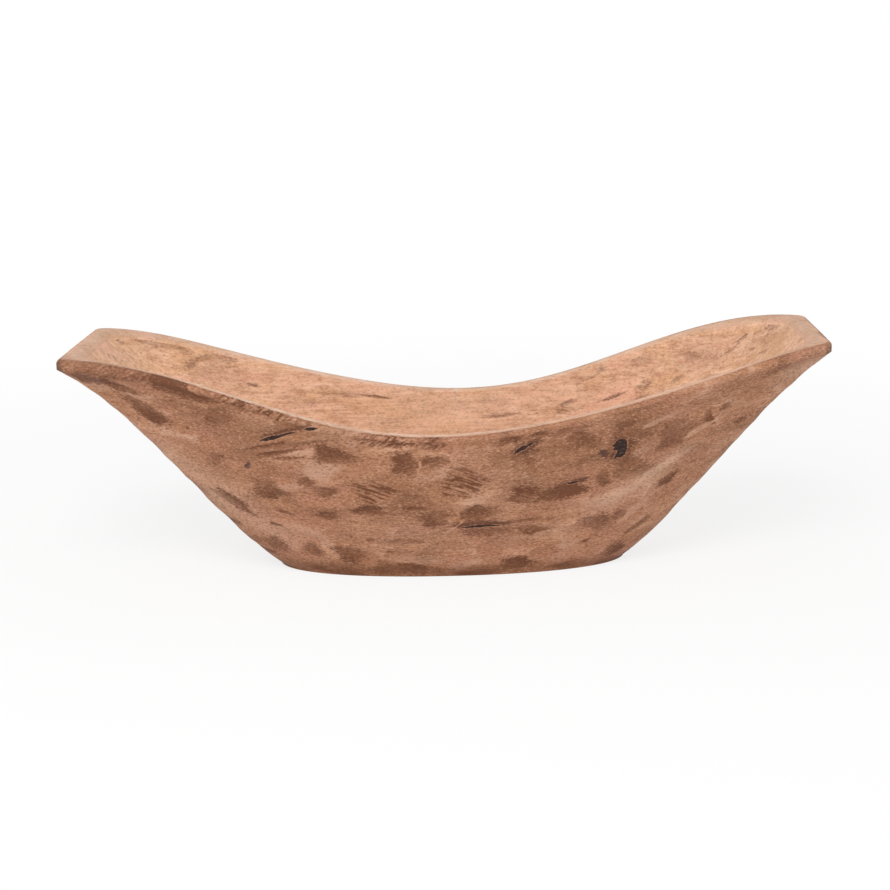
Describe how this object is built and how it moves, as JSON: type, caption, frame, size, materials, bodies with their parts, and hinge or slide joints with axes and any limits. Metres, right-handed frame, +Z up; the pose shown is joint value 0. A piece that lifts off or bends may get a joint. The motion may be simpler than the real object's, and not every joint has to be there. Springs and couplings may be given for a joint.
{
  "type": "carved wooden bowl",
  "caption": "Long boat-shaped mango wood bowl, carved from one billet, with upswept squared ends, a gouged outside, a smooth hollow and a flat oval base.",
  "frame": {"origin": "middle of the flat oval base, on the surface that the bowl stands on", "axes": "+X along the bowl, +Y across it towards the wall without filled cracks, +Z up"},
  "size_m": [0.624, 0.182, 0.1924],
  "materials": {
    "mango_wood": "dry, sanded, dark stain left in the gouge cuts",
    "dark_filler": "satin filler, sanded flush"
  },
  "bodies": {
    "root": {"bowl_body": "mango_wood", "knot_fill": "dark_filler", "curved_crack_fill": "dark_filler", "long_crack_fill": "dark_filler", "rim_crack_fill": "dark_filler", "lower_crack_fill": "dark_filler", "short_crack_fill": "dark_filler"}
  },
  "joints": []
}
